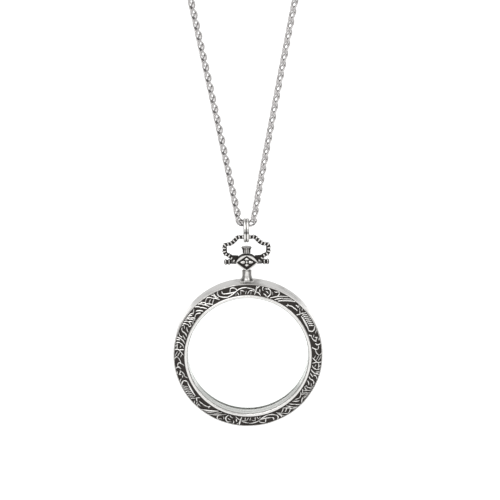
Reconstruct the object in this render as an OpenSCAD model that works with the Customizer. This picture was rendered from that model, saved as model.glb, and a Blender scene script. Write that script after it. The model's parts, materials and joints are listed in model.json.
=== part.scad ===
/* [Case ring] */
// Clear opening that the lens is looked through
view_d = 36.4; // [32:0.1:42]
// Thickness of the case's wall outside the glass
case_wall = 3.1; // [2.6:0.05:4]
// Thickness of the case from front to back
ring_depth = 6.6; // [6:0.1:9]
// Thickness of the lip behind the lens
back_lip = 0.9; // [0.6:0.1:1.5]
// Width of the polished rim outside the scroll band
case_rim = 0.3; // [0.2:0.05:0.6]
// Rounding of the outer edges of the case
edge_round = 0.3; // [0.1:0.05:0.5]

/* [Lens] */
// How far the glass reaches past the clear opening all round
lens_overlap = 1.15; // [0.9:0.05:1.6]
// Thickness of the glass at its edge
lens_edge = 1.7; // [1.2:0.1:2.2]
// Swell of the front face of the glass
lens_front_rise = 1.8; // [0.8:0.1:2.4]
// Swell of the back face of the glass
lens_back_rise = 0.8; // [0.4:0.1:0.9]

/* [Scroll bezel] */
// Thickness of the bezel's flange where it sits on the case
flange_t = 1; // [0.8:0.1:1.5]
// Width of the polished lip inside the scroll band
lip_w = 1.05; // [0.7:0.05:1.4]
// Height of the inner lip above the front of the case
lip_rise = 0.85; // [0.5:0.05:1.2]
// Height of the band's outer edge above the front of the case
band_edge_rise = 0.1; // [0.05:0.05:0.2]
// Height of the raised scrollwork
relief_h = 0.32; // [0.15:0.01:0.4]
// Width of a raised line of the scrollwork
line_w = 0.34; // [0.24:0.02:0.42]

/* [Hanger] */
// Height of the stem between the case and the eye plate
stem_h = 3.7; // [2.5:0.1:6]
// Diameter of the stem under the eye plate
stem_d = 2.9; // [2:0.1:3.2]
// Diameter of the stem's flared foot
foot_d = 4.5; // [3.6:0.1:5.4]
// Width of the eye plate
plate_w = 6.8; // [6.2:0.1:8]
// Height of the eye plate
plate_h = 4.7; // [4:0.1:5.4]
// Thickness of the eye plate
plate_t = 2.4; // [2:0.1:3]
// Width of the bow between the middles of its sides
bow_w = 13.2; // [12:0.1:16]
// Height of the bow from the eye plate's middle to its top bar
bow_h = 7.6; // [7.2:0.1:9.5]
// Diameter of a bead on the bow
bead_d = 1.3; // [1.05:0.05:1.4]
// Diameter of the bar between the beads
bar_d = 0.95; // [0.6:0.05:1]
// Distance between neighbouring beads
bead_pitch = 1; // [0.9:0.05:1.3]
// Thickness of the web between the foot of the bow and its tab
web_t = 1.15; // [0.8:0.05:1.6]
// Depth of the diamond recess round the flower
inset_depth = 0.4; // [0.2:0.05:0.7]
// Diameter of the flower's middle and petals
petal_d = 0.86; // [0.6:0.02:1]

/* [Crown] */
// Diameter of the crown's flared top
crown_d = 3.1; // [2.6:0.1:3.4]
// Diameter of the crown's waist
crown_waist_d = 2.4; // [2:0.1:2.6]
// Height of the crown
crown_h = 1.9; // [1.6:0.05:2.2]
// Number of flutes round the crown
flutes = 12; // [8:1:16]
// Diameter of the round cutter of the flutes
flute_d = 0.5; // [0.3:0.05:0.6]
// Diameter of the neck that carries the crown
neck_d = 1.9; // [1.5:0.1:2.2]
// Height of the neck over the eye plate's point
neck_h = 0.35; // [0.2:0.05:0.6]

/* [Bail ring] */
// Inner diameter of the double ring that hangs on the chain
bail_in_d = 5.64; // [5.4:0.02:6.4]
// Thickness of each of its two turns of wire
bail_wire = 0.84; // [0.6:0.02:0.9]

/* [Chain and clasp] */
// Diameter of the rope chain
chain_d = 1.75; // [1.5:0.05:2]
// Diameter of the clasp's barrel
clasp_d = 3.2; // [2.8:0.1:4]
// Length of the clasp's barrel
clasp_len = 9; // [7:0.5:14]
// Length of each end cap that the chain is fixed in
cap_len = 3; // [2:0.5:4]
// Wall of each end cap
cap_wall = 0.35; // [0.25:0.05:0.5]
// Bevel at the ends of the clasp's barrel
clasp_bevel = 0.4; // [0.2:0.05:0.6]

/* [Clearances] */
// Gap between pieces that are seated in each other
seat_gap = 0.03; // [0.02:0.01:0.06]
// Gap round the edge of the glass
lens_gap = 0.05; // [0.03:0.01:0.1]
// Gap between the hanging pieces and what they hang on
hang_gap = 0.14; // [0.1:0.02:0.2]

/* [Hidden] */
ROUND = 96;
FINE = 24;
LENS_PARTS = 8;
ARC_PARTS = 4;
view_r = view_d / 2;
lens_r = view_r + lens_overlap;
lens_seat_r = lens_r + lens_gap;
ring_r = lens_seat_r + case_wall;
front = ring_depth / 2;
lens_back = -front + back_lip + lens_gap;
lens_front = lens_back + lens_edge;
sleeve_end = lens_front + lens_gap;
flange_back = front - flange_t;
counterbore_r = ring_r - case_rim;
band_in = view_r + lip_w;
band_out = counterbore_r - seat_gap;
band_w = band_out - band_in;
crest_in = front + lip_rise;
crest_out = front + band_edge_rise;
overlap = 0.1;

// The bezel's lip is rounded from its inner wall to this angle, where the band starts
LIP_END = 60;

// The stud under the foot and its hole in the wall of the case
stud_d = 1.4;
stud_len = 1.6;
plate_z = ring_r + stem_h + plate_h / 2;
bar_z = plate_z + bow_h;
crown_z = plate_z + plate_h / 2 + neck_h;
bail_r = bail_in_d / 2 + bail_wire / 2;
bail_z = bar_z - bead_d / 2 - hang_gap + bail_in_d / 2;
apex_z = bail_z + bail_in_d / 2 - chain_d / 2 - hang_gap;

// Scrollwork over half a turn of the band, charted clockwise from the top
// Columns: start angle, start share of the band's width, end angle, end share,
// bow near the start and near the end as shares of the length, width in line widths
ARCH = [
    [0, 0.72, 6.6, 0.5, 0.02, 0.08, 1.2],
    [1.8, 0.42, 6.2, 0.4, 0.12, 0.1, 1],
    [0.3, 0.08, 1.9, 0.4, 0, 0.1, 0.9],
    [3.2, 0.05, 3.3, 0.4, 0, 0, 0.9],
    [170.8, 0.46, 180, 0.76, 0.12, 0.08, 1.3],
    [174.4, 0.06, 174.7, 0.42, 0, 0, 1],
    [174.5, 0.46, 177.6, 0.36, 0.14, 0.2, 1],
    [178.4, 0.08, 179.3, 0.42, 0, 0, 0.9]
];
CROSS = [
    [7.7, 0.98, 7.4, 0.45, 0, 0, 1.6],
    [7.4, 0.52, 6.4, 0.03, 0, 0, 1.2],
    [7.2, 0.36, 11.8, 0.08, 0.14, 0.12, 1.2],
    [10.2, 0.66, 10.9, 0.36, 0, 0, 1.4],
    [8.2, 0.74, 9.8, 0.98, 0, 0, 0.9]
];
CURLS = [
    [12.9, 0.98, 13.2, 0.6, -0.3, -0.3, 1],
    [14.1, 0.84, 17.2, 0.84, -0.2, 0.2, 1],
    [15.4, 0.6, 18, 0.46, 0.2, 0, 1],
    [16.6, 0.96, 18, 0.06, 0.42, 0.46, 1.4],
    [13.9, 0.32, 17.2, 0.08, 0.12, 0.12, 1.1],
    [20.7, 0.74, 21.8, 0.44, 0, 0, 0.8],
    [22.2, 0.84, 24.8, 0.94, -0.4, -0.2, 1],
    [25, 0.98, 25.8, 0.54, 0.4, 0.4, 1.2]
];
STRANDS = [
    [20.6, 0.08, 34, 0.98, 0.02, 0.02, 1.2],
    [24.8, 0.08, 30.4, 0.56, 0, 0, 1.1],
    [30.2, 0.5, 37.4, 0.97, 0, 0, 1],
    [28, 0.08, 40.6, 0.97, 0.02, 0.02, 1.6]
];
LEAF = [
    [36.2, 0.12, 38.4, 0.3, -0.3, 0.3, 1.3],
    [36.6, 0.36, 37.6, 0.12, 0, 0, 1.2],
    [38, 0.26, 42.4, 0.42, 0.06, 0.06, 1.3],
    [41.8, 0.4, 46.8, 0.42, -0.06, 0.1, 1.3],
    [42.4, 0.72, 45.2, 0.72, 0.25, 0.1, 1],
    [44.2, 0.98, 45.6, 0.68, 0.2, 0, 1],
    [46.2, 0.9, 47.6, 0.62, 0, 0, 0.9],
    [48, 0.6, 50.7, 0.32, 0.1, 0.1, 1.4],
    [50.6, 0.38, 48.8, 0.08, 0, 0, 1.2],
    [48, 0.97, 49.6, 0.78, 0, 0, 1]
];
BAR = [
    [52.6, 0.34, 66.4, 0.24, 0.02, 0.02, 1.8]
];
SCROLLS = [
    [65.6, 0.98, 69, 0.5, 0.14, 0.24, 1.5],
    [69, 0.56, 66.6, 0.22, 0.1, 0.16, 1.4],
    [69, 0.97, 71.4, 0.72, 0.1, 0, 1],
    [70.4, 0.05, 72.6, 0.32, 0, 0, 1.2],
    [71.8, 0.56, 74, 0.4, 0.1, 0, 1.1],
    [72.8, 0.26, 78.3, 0.6, -0.16, -0.16, 1.2],
    [78.3, 0.58, 74.8, 0.84, 0.24, 0.1, 1.2],
    [75.2, 0.8, 74.4, 0.56, 0, 0, 1],
    [75.8, 0.98, 78, 0.9, 0, 0, 1],
    [80.4, 0.98, 79.4, 0.46, 0.5, 0.4, 1.4],
    [82.4, 0.74, 85.2, 0.5, 0.22, 0.3, 1.2],
    [85, 0.52, 82.2, 0.06, 0.12, 0.12, 1.2],
    [84.8, 0.36, 90.2, 0.7, -0.12, -0.14, 1.2],
    [88.2, 0.98, 90.2, 0.72, 0.2, 0.2, 1.1]
];
WAVES = [
    [90.8, 0.92, 94.8, 0.66, 0.05, 0.05, 1],
    [90.6, 0.66, 94.2, 0.44, 0.05, 0.05, 1],
    [90.2, 0.36, 93.2, 0.16, 0.05, 0.05, 1],
    [92, 0.06, 96.4, 0.64, -0.08, -0.08, 1.3],
    [95.8, 0.98, 96.4, 0.56, 0.1, 0.1, 1.3],
    [96.2, 0.54, 97.2, 0.06, 0, 0, 1.2],
    [96.8, 0.72, 101.4, 0.76, 0.06, 0.1, 1.1],
    [98.4, 0.98, 100.2, 0.84, 0, 0, 1],
    [98.2, 0.44, 99.9, 0.36, 0.3, 0.3, 1],
    [99.2, 0.1, 102.6, 0.62, -0.24, -0.1, 1.3],
    [102.6, 0.58, 101.2, 0.96, -0.1, -0.2, 1.2],
    [104.2, 0.98, 104.8, 0.6, 0, 0, 1],
    [103, 0.08, 106.4, 0.66, -0.16, -0.06, 1.4],
    [106.2, 0.6, 106.4, 0.98, 0.1, 0.1, 1.3],
    [106.4, 0.1, 109.4, 0.46, -0.12, 0, 1.3],
    [107.8, 0.48, 108.6, 0.84, 0.2, 0.1, 1.2],
    [108.4, 0.78, 110.4, 0.97, 0.1, 0, 1],
    [109.8, 0.06, 112.2, 0.42, -0.1, -0.1, 1.4],
    [112, 0.36, 112.8, 0.72, 0.1, 0.1, 1.4],
    [112.6, 0.68, 115.2, 0.84, 0.14, 0.14, 1.3],
    [113.8, 0.08, 117.2, 0.42, 0.06, 0.12, 1.3],
    [115.2, 0.58, 117.6, 0.72, 0, 0, 0.9],
    [116, 0.95, 117.8, 0.8, 0, 0, 0.9]
];
PLAITS = [
    [118, 0.96, 119.3, 0.58, 0.1, 0.2, 1.1],
    [119.3, 0.6, 118.4, 0.22, 0.3, 0.2, 1],
    [118.4, 0.26, 120.6, 0.12, -0.1, -0.1, 1],
    [120, 0.1, 122.2, 0.34, 0, 0, 0.9],
    [120, 0.94, 121.9, 0.6, 0.1, 0.2, 1],
    [121.9, 0.62, 121, 0.3, 0.3, 0.2, 1],
    [122.2, 0.95, 124.6, 0.56, 0.1, 0.2, 1],
    [121.8, 0.56, 123.8, 0.24, 0.1, 0.1, 1.1],
    [122.4, 0.08, 125.8, 0.24, -0.1, 0.1, 1],
    [124, 0.94, 126, 0.62, 0.1, 0.1, 1],
    [123.8, 0.66, 126, 0.26, 0.1, 0.1, 1.1],
    [125.6, 0.94, 128, 0.6, 0.1, 0.1, 1],
    [125.8, 0.56, 127.8, 0.2, 0.1, 0.1, 1.1],
    [126, 0.08, 128, 0.28, 0, 0, 0.9],
    [127.4, 0.9, 130, 0.7, -0.1, 0.1, 1.1],
    [127.6, 0.24, 131.4, 0.4, 0.1, 0.06, 1.1],
    [129.2, 0.64, 133.2, 0.94, -0.12, -0.06, 1.3],
    [131, 0.4, 134.8, 0.14, 0.1, 0, 1.2],
    [133, 0.6, 137.4, 0.1, 0.12, 0.06, 1.4],
    [134.8, 0.96, 138, 0.5, 0.12, 0.16, 1.3],
    [137.6, 0.56, 141.4, 0.06, 0.1, 0, 1.3],
    [138, 0.97, 141, 0.6, 0.1, 0.16, 1.3],
    [140.6, 0.62, 144.4, 0.06, 0.12, 0, 1.3],
    [140.6, 0.97, 142, 0.74, 0, 0, 1.1],
    [142, 0.78, 143.4, 0.48, 0.2, 0.2, 1.3],
    [142.6, 0.52, 148, 0.06, 0.08, 0, 1.3],
    [143.6, 0.62, 147.2, 0.92, 0.14, 0.1, 1.2],
    [146.6, 0.94, 150.4, 0.62, 0.1, 0.1, 1.2],
    [145, 0.34, 148.6, 0.58, -0.06, 0.1, 1.2],
    [147.4, 0.08, 151.2, 0.44, 0, 0.1, 1.2],
    [150, 0.64, 155.4, 0.14, 0.06, 0.06, 1.1],
    [150.6, 0.97, 153.2, 0.46, 0.1, 0.16, 1.1]
];
OGEE = [
    [153, 0.97, 155, 0.36, -0.16, -0.2, 1.2],
    [156.9, 0.98, 156.2, 0.44, -0.3, -0.3, 1.4],
    [156, 0.5, 163, 0.1, -0.14, -0.1, 1.4],
    [162.4, 0.1, 171.4, 0.52, -0.1, -0.1, 1.4],
    [159.8, 0.88, 160.6, 0.5, -0.3, -0.3, 1.3],
    [160.2, 0.54, 170.4, 0.42, -0.08, -0.06, 1.4],
    [167, 0.88, 165.8, 0.46, -0.1, -0.1, 1.2],
    [166.6, 0.86, 171.6, 0.6, 0.2, 0.24, 1.3],
    [172.8, 0.05, 171.6, 0.34, 0, 0, 1],
    [170, 0.06, 170.6, 0.28, 0, 0, 0.9]
];
RIBS = [for (k = [0:7]) [50.8 + 1.78 * k, 0.46, 52.6 + 1.78 * k, 0.95, 0.16, -0.1, 1]];
SCROLLWORK = concat(ARCH, CROSS, CURLS, STRANDS, LEAF, BAR, RIBS, SCROLLS, WAVES, PLAITS, OGEE);
COPIES = 2;
STROKE_PARTS = 4;
STROKE_STEP = 0.05;
STROKE_END = 0.6;

// Outline of the stem, whose root is inside the eye plate and whose foot starts in the case
// Columns: share of the flare from the stem to the foot, share of the stem's height
STEM = [[1, -0.11], [1, 0.06], [0.67, 0.14], [0.27, 0.26], [0.07, 0.44], [0, 0.7]];
stem_root = 0.75;

// Outline of the crown: share of the flare from the waist to the top, share of the crown's height
CROWN = [[0, 0], [-0.11, 0.35], [0.23, 0.62], [1, 0.84], [0.77, 0.93], [-0.43, 1]];

// Diamond recess of the eye plate, as shares of the plate, and how far the petals sit from the middle
// beside it and over it, as shares of a petal
INSET = [0.88, 0.85];
PETALS = [1.35, 1.05];

// Tab beside the foot of the bow: where its beads sit between the plate and its end, their size as a
// share of the bow's beads, its height as a share of the bow's and the depth of its root in the plate
TAB_BEADS = [0.62, 0.92];
TAB_BEAD = 1.3;
TAB_Z = -0.01;
TAB_ROOT = 0.25;

// Shoulder that joins tab and bow to the plate: diameter and length as shares of a bead
SHOULDER = [1.2, 0.94];

// Web between the foot of the bow, its tab and the plate, as shares of half the bow's width and of
// its height
WEB = [[0.38, 0.24], [0.63, 0.25], [0.74, 0.3], [0.73, 0.05], [0.7, -0.07], [0.38, -0.07]];

// The two turns of the bail ring's wire are fused this deep
turn_overlap = 0.02;

// Half of the bow from its top bar to the eye plate
// Columns: share of half the bow's width, share of the bow's height
BOW = [
    [0, 1], [0.39, 1], [0.51, 0.89], [0.64, 0.78], [0.78, 0.71], [0.94, 0.69], [1, 0.62],
    [1, 0.5], [1, 0.37], [0.93, 0.31], [0.81, 0.26], [0.7, 0.16], [0.58, 0.05]
];

// Half of the chain's route from the bend in the bail ring to the clasp at the nape
// Columns: right, back and up from the bend, and the number of rings of the tube to the next point
ROUTE = [
    [0, 0, 0, 2], [1.2, 0, 0.2, 2], [2.05, 0.1, 0.95, 2], [2.4, 0.3, 2.2, 2], [4, 1.5, 10.4, 4],
    [10, 5.6, 40, 4], [18.3, 11.2, 80, 4], [26.6, 17, 120, 3], [33.5, 22, 150, 3],
    [41.5, 29, 180, 3], [48.5, 38, 205, 2], [54.3, 50, 228, 2], [57.6, 65, 247, 2],
    [57.8, 82, 262, 2], [54.5, 99, 273, 2], [46.5, 114, 281, 2], [34, 125, 286, 2],
    [17.5, 131.7, 289.5, 2], [10, 133.4, 290, 2]
];
NAPE = [0, 133.5, 290];
TUBE_SIDES = 8;

// The tube's first side faces this way, along which the chain never runs
TUBE_SIDE = [0, -0.6, 0.8];
chain_end = clasp_len / 2 + cap_len / 2;
route_len = len(ROUTE) + 1;

function unit(v) = v / norm(v);
function turned(v) = [-v[1], v[0]];
function arc_points(c, r, from, to) =
    [for (k = [0:ARC_PARTS]) let (a = from + (to - from) * k / ARC_PARTS) c + r * [cos(a), sin(a)]];

// How far a face of the glass stands out at a share of its radius, and the seats with it
function swell(share, rise) = rise * (1 - share * share);
function seat_swell(rise) = swell(view_r / lens_r, rise);
function glass_face(level, rise) =
    [for (k = [0:LENS_PARTS]) [lens_r * k / LENS_PARTS, level + swell(k / LENS_PARTS, rise)]];
function backwards(list) = [for (k = [len(list) - 1:-1:0]) list[k]];

// Places on the band, which runs clockwise as seen from the front
function unrolled(angle, share) = [angle * PI / 180 * (band_in + band_out) / 2, share * band_w];
function on_band(p) =
    let (r = band_in + p[1], a = p[0] * 180 / PI / ((band_in + band_out) / 2)) [r * sin(a), r * cos(a)];
function controls(row) =
    let (a = unrolled(row[0], row[1]), b = unrolled(row[2], row[3]), d = b - a)
    [a, a + d / 3 + turned(d) * row[4], a + d * 2 / 3 + turned(d) * row[5], b];
function bezier(p, t) =
    pow(1 - t, 3) * p[0] + 3 * t * pow(1 - t, 2) * p[1] + 3 * t * t * (1 - t) * p[2] + pow(t, 3) * p[3];
function heading(p, t) =
    unit(bezier(p, min(t + STROKE_STEP, 1)) - bezier(p, max(t - STROKE_STEP, 0)));
function stroke_side(row, sign) =
    let (p = controls(row))
    [for (k = [0:STROKE_PARTS])
        let (t = k / STROKE_PARTS, fullness = STROKE_END + (1 - STROKE_END) * sin(180 * t))
        on_band(bezier(p, t) + sign * line_w * row[6] / 2 * fullness * turned(heading(p, t)))];

// Places along the bow
function bow_point(k) = [BOW[k][0] * bow_w / 2, BOW[k][1] * bow_h];
function bow_length(k) = k == 0 ? 0 : bow_length(k - 1) + norm(bow_point(k) - bow_point(k - 1));
function bow_at(s, k = 1) =
    (k == len(BOW) - 1 || bow_length(k) >= s)
    ? let (t = (s - bow_length(k - 1)) / norm(bow_point(k) - bow_point(k - 1)))
      bow_point(k - 1) + t * (bow_point(k) - bow_point(k - 1))
    : bow_at(s, k + 1);

// A smooth curve through the chain's route
function route_point(k) =
    k < len(ROUTE) ? let (r = ROUTE[k]) [r[0], r[1], r[2]] : NAPE + [chain_end, 0, 0];
function route_slope(k) =
    k == 0 ? [1, 0, 0] * norm(route_point(1))
    : k == route_len - 1 ? [-1, 0, 0] * norm(route_point(k) - route_point(k - 1))
    : (route_point(k + 1) - route_point(k - 1)) / 2;
function span_slope(k, end) = let (v = route_slope(end), d = norm(route_point(k + 1) - route_point(k)))
    unit(v) * d;
function hermite(p, q, u, v, t) =
    (2 * t * t * t - 3 * t * t + 1) * p + (t * t * t - 2 * t * t + t) * u
    + (-2 * t * t * t + 3 * t * t) * q + (t * t * t - t * t) * v;
function span_point(k, t) =
    hermite(route_point(k), route_point(k + 1), span_slope(k, k), span_slope(k, k + 1), t);
tube_line = concat(
    [for (k = [0:route_len - 2]) for (j = [0:ROUTE[k][3] - 1]) span_point(k, j / ROUTE[k][3])],
    [route_point(route_len - 1)]);
function tube_heading(k) =
    k == 0 ? [1, 0, 0] : k == len(tube_line) - 1 ? [-1, 0, 0] : unit(tube_line[k + 1] - tube_line[k - 1]);

module front_facing() {
    rotate([90, 0, 0]) children();
}

module turned_profile(points) {
    rotate_extrude($fn = ROUND) polygon(points);
}

module stroke(row) {
    polygon(concat(stroke_side(row, 1), backwards(stroke_side(row, -1))));
}

module scrollwork() {
    floor_in = crest_in - relief_h - overlap;
    floor_out = crest_out - relief_h - overlap;
    intersection() {
        linear_extrude(crest_in + overlap)
            for (copy = [0:COPIES - 1]) rotate(copy * 360 / COPIES)
                for (row = SCROLLWORK) stroke(row);
        turned_profile([[band_in - overlap, floor_in], [band_out, floor_out],
                        [band_out, crest_out], [band_in - overlap, crest_in]]);
    }
}

module case_ring() {
    outer = arc_points([ring_r - edge_round, edge_round - front], edge_round, -90, 0);
    color("silver") difference() {
        front_facing() turned_profile(concat(
            [[view_r, -front + edge_round], [view_r + edge_round, -front]],
            outer,
            [[ring_r, front - case_rim / 2], [ring_r - case_rim / 2, front], [counterbore_r, front],
             [counterbore_r, flange_back], [lens_seat_r, flange_back],
             [lens_seat_r, back_lip - front], [view_r, back_lip - front - seat_swell(lens_back_rise)]]));
        translate([0, 0, ring_r - stud_len - seat_gap])
            cylinder(d = stud_d + 2 * seat_gap, h = stud_len + seat_gap + overlap, $fn = ROUND);
    }
}

module scroll_bezel() {
    lip = arc_points([view_r + lip_w / 2, crest_in - lip_w / 2], lip_w / 2, 180, LIP_END);
    color("silver") front_facing() union() {
        turned_profile(concat(
            [[view_r, sleeve_end + seat_swell(lens_front_rise)]],
            lip,
            [[band_in, crest_in - relief_h], [band_out, crest_out - relief_h],
             [band_out, flange_back + seat_gap], [lens_seat_r - seat_gap, flange_back + seat_gap],
             [lens_seat_r - seat_gap, sleeve_end]]));
        scrollwork();
    }
}

module lens() {
    color([0.9, 0.95, 0.95, 0.4]) front_facing() turned_profile(concat(
        glass_face(lens_back, -lens_back_rise), backwards(glass_face(lens_front, lens_front_rise))));
}

// A pointed oval: the overlap of two discs
module eye(width, height, thickness) {
    r = (pow(width / 2, 2) + pow(height / 2, 2)) / height;
    front_facing() intersection_for (sign = [-1, 1])
        translate([0, sign * (r - height / 2), -thickness / 2])
            cylinder(r = r, h = thickness, $fn = ROUND);
}

module flower() {
    for (k = [0:3]) rotate([0, 90 * k, 0]) translate([petal_d * PETALS[k % 2], 0, 0])
        sphere(d = petal_d, $fn = FINE);
    sphere(d = petal_d, $fn = FINE);
}

module eye_plate() {
    side = INSET[0] * plate_w / 2;
    top = INSET[1] * plate_h / 2;
    difference() {
        union() {
            eye(plate_w, plate_h, plate_t);
            cylinder(d = neck_d, h = crown_z - plate_z, $fn = ROUND);
        }
        front_facing() translate([0, 0, plate_t / 2 - inset_depth]) linear_extrude(plate_t)
            polygon([[-side, 0], [0, -top], [side, 0], [0, top]]);
    }
    translate([0, inset_depth - plate_t / 2, 0]) flower();
}

// A bar in the plane of the bow, from one point to another
module bar(a, b, d) {
    v = b - a;
    translate([a[0], 0, a[1]]) rotate([0, 90 - atan2(v[1], v[0]), 0])
        cylinder(d = d, h = norm(v), $fn = FINE);
}

module bead(p, d) {
    translate([p[0], 0, p[1]]) sphere(d = d, $fn = FINE);
}

module bow() {
    length = bow_length(len(BOW) - 1);
    spaces = round(2 * length / bead_pitch);
    places = [for (k = [0:spaces])
        let (s = (2 * k / spaces - 1) * length, p = bow_at(abs(s))) [sign(s) * p[0], p[1]]];
    for (p = places) bead(p, bead_d);
    for (k = [1:spaces]) bar(places[k - 1], places[k], bar_d);
}

// The scrolled tab beside the foot of the bow, and the shoulder that joins both to the plate
module tab(side) {
    z = TAB_Z * bow_h;
    start = plate_w / 2 - TAB_ROOT;
    end = bow_w / 2;
    translate([side * start, 0, z]) rotate([0, side * 90, 0])
        cylinder(d = SHOULDER[0] * bead_d, h = SHOULDER[1] * bead_d, $fn = FINE);
    bar([side * start, z], [side * (start + TAB_BEADS[1] * (end - start)), z], bar_d);
    for (t = TAB_BEADS) bead([side * (start + t * (end - start)), z], TAB_BEAD * bead_d);
    front_facing() linear_extrude(web_t, center = true)
        polygon([for (p = WEB) [side * p[0] * bow_w / 2, p[1] * bow_h]]);
}

module stem() {
    top = ring_r + stem_h + stem_root;
    flare = [for (p = STEM) [(stem_d + p[0] * (foot_d - stem_d)) / 2, ring_r + p[1] * stem_h]];
    difference() {
        turned_profile(concat([[0, flare[0][1]]], flare, [[stem_d / 2, top], [0, top]]));
        front_facing() translate([0, 0, -front])
            cylinder(r = ring_r + seat_gap, h = ring_depth, $fn = ROUND);
    }
    translate([0, 0, ring_r - stud_len]) cylinder(d = stud_d, h = stud_len + stem_h / 2, $fn = ROUND);
}

module hanger() {
    color("silver") union() {
        stem();
        translate([0, 0, plate_z]) {
            eye_plate();
            bow();
            for (side = [-1, 1]) tab(side);
        }
    }
}

module crown() {
    flare = crown_d - crown_waist_d;
    outline = [for (p = CROWN) [(crown_waist_d + p[0] * flare) / 2, p[1] * crown_h]];
    color("silver") translate([0, 0, crown_z + seat_gap]) difference() {
        turned_profile(concat([[0, 0]], outline, [[0, crown_h]]));
        for (k = [0:flutes - 1]) rotate((k + 0.5) * 360 / flutes)
            translate([crown_waist_d / 2 + seat_gap, 0, -overlap]) rotate([0, atan2(flare / 2, crown_h), 0])
                cylinder(d = flute_d, h = crown_h + flute_d, $fn = ROUND);
    }
}

module bail_ring() {
    color("silver") translate([0, 0, bail_z]) rotate([0, 90, 0])
        rotate_extrude($fn = ROUND) for (sign = [-1, 1])
            translate([bail_r, sign * (bail_wire - turn_overlap) / 2]) circle(d = bail_wire, $fn = ROUND);
}

module chain_half(sign) {
    count = len(tube_line);
    points = [for (k = [0:count - 1])
        let (t = tube_heading(k), u = unit(cross(t, TUBE_SIDE)), v = cross(t, u))
        for (j = [0:TUBE_SIDES - 1])
            let (a = 360 * j / TUBE_SIDES, p = tube_line[k] + chain_d / 2 * (cos(a) * u + sin(a) * v))
            [sign * p[0], p[1], p[2]]];
    walls = [for (k = [0:count - 2]) for (j = [0:TUBE_SIDES - 1])
        let (n = (j + 1) % TUBE_SIDES, a = k * TUBE_SIDES)
        [a + j, a + TUBE_SIDES + j, a + TUBE_SIDES + n, a + n]];
    cap = [for (j = [0:TUBE_SIDES - 1]) j];
    caps = [cap, [for (j = backwards(cap)) (count - 1) * TUBE_SIDES + j]];
    faces = concat(walls, caps);
    color("gainsboro") translate([0, 0, apex_z])
        polyhedron(points, sign > 0 ? faces : [for (f = faces) backwards(f)]);
}

module chain_left() {
    chain_half(-1);
}

module chain_right() {
    chain_half(1);
}

module clasp() {
    end = clasp_len / 2;
    bore_r = chain_d / 2 + hang_gap;
    cap_r = bore_r + cap_wall;
    color("silver") translate(NAPE + [0, 0, apex_z]) rotate([0, 90, 0]) difference() {
        turned_profile([[0, -end - cap_len], [cap_r, -end - cap_len], [cap_r, -end],
                        [clasp_d / 2 - clasp_bevel, -end], [clasp_d / 2, clasp_bevel - end],
                        [clasp_d / 2, end - clasp_bevel], [clasp_d / 2 - clasp_bevel, end],
                        [cap_r, end], [cap_r, end + cap_len], [0, end + cap_len]]);
        for (sign = [-1, 1]) mirror([0, 0, sign < 0 ? 1 : 0])
            translate([0, 0, chain_end - seat_gap]) cylinder(r = bore_r, h = cap_len, $fn = ROUND);
    }
}

// The wearer's neck meets the inner side of the clasp, where the origin is
module worn() {
    translate([0, clasp_d / 2, 0] - NAPE - [0, 0, apex_z]) children();
}

worn() case_ring();
worn() scroll_bezel();
worn() lens();
worn() hanger();
worn() crown();
worn() bail_ring();
worn() chain_left();
worn() chain_right();
worn() clasp();
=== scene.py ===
import json
import math

import bpy
from mathutils import Matrix, Vector


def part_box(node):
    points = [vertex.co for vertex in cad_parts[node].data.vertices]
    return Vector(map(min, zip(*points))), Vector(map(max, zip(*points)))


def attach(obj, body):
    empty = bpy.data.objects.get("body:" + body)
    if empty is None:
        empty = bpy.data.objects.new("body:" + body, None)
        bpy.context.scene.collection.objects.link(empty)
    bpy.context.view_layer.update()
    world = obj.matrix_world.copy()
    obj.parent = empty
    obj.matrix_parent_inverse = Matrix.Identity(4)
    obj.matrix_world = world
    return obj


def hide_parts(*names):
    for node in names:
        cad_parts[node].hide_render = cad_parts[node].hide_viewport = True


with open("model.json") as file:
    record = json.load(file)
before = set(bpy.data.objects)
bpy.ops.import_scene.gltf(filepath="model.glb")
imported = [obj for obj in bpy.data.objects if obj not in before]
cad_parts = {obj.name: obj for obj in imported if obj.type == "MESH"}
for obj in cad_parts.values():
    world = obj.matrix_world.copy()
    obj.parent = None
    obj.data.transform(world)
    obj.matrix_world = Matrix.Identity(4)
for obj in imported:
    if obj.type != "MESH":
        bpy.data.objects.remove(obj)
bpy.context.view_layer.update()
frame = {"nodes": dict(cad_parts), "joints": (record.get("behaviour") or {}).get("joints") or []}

# Camera: the photograph looks a little down on the hanging pendant through a long lens, and the
# pendant leans slightly to the left in it. The middle of the case is placed on its pixel.
mm = 0.001
case_low, case_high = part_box("case_ring")
case_middle = (case_low + case_high) / 2
picture_side = 500
case_pixel = (248.0, 352.4)
pixel = 0.3024 * mm
view_height = math.radians(15.3)
lean = math.radians(0.8)
view_distance = 0.7
film_width = 36
nearest_seen = 0.01

level_right = Vector((1, 0, 0))
level_up = Vector((0, math.sin(view_height), math.cos(view_height)))
towards_camera = Vector((0, -math.cos(view_height), math.sin(view_height)))
picture_right = math.cos(lean) * level_right - math.sin(lean) * level_up
picture_up = math.sin(lean) * level_right + math.cos(lean) * level_up
aim = (case_middle - (case_pixel[0] - picture_side / 2) * pixel * picture_right
       + (case_pixel[1] - picture_side / 2) * pixel * picture_up)
long_lens = bpy.data.cameras.new("camera")
long_lens.sensor_width = film_width
long_lens.lens = film_width * view_distance / (picture_side * pixel)
long_lens.clip_start = nearest_seen
camera = bpy.data.objects.new("camera", long_lens)
camera.matrix_world = (Matrix.Translation(aim + towards_camera * view_distance)
                       @ Matrix((picture_right, picture_up, towards_camera)).transposed().to_4x4())
bpy.context.scene.collection.objects.link(camera)
bpy.context.scene.camera = camera


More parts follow.
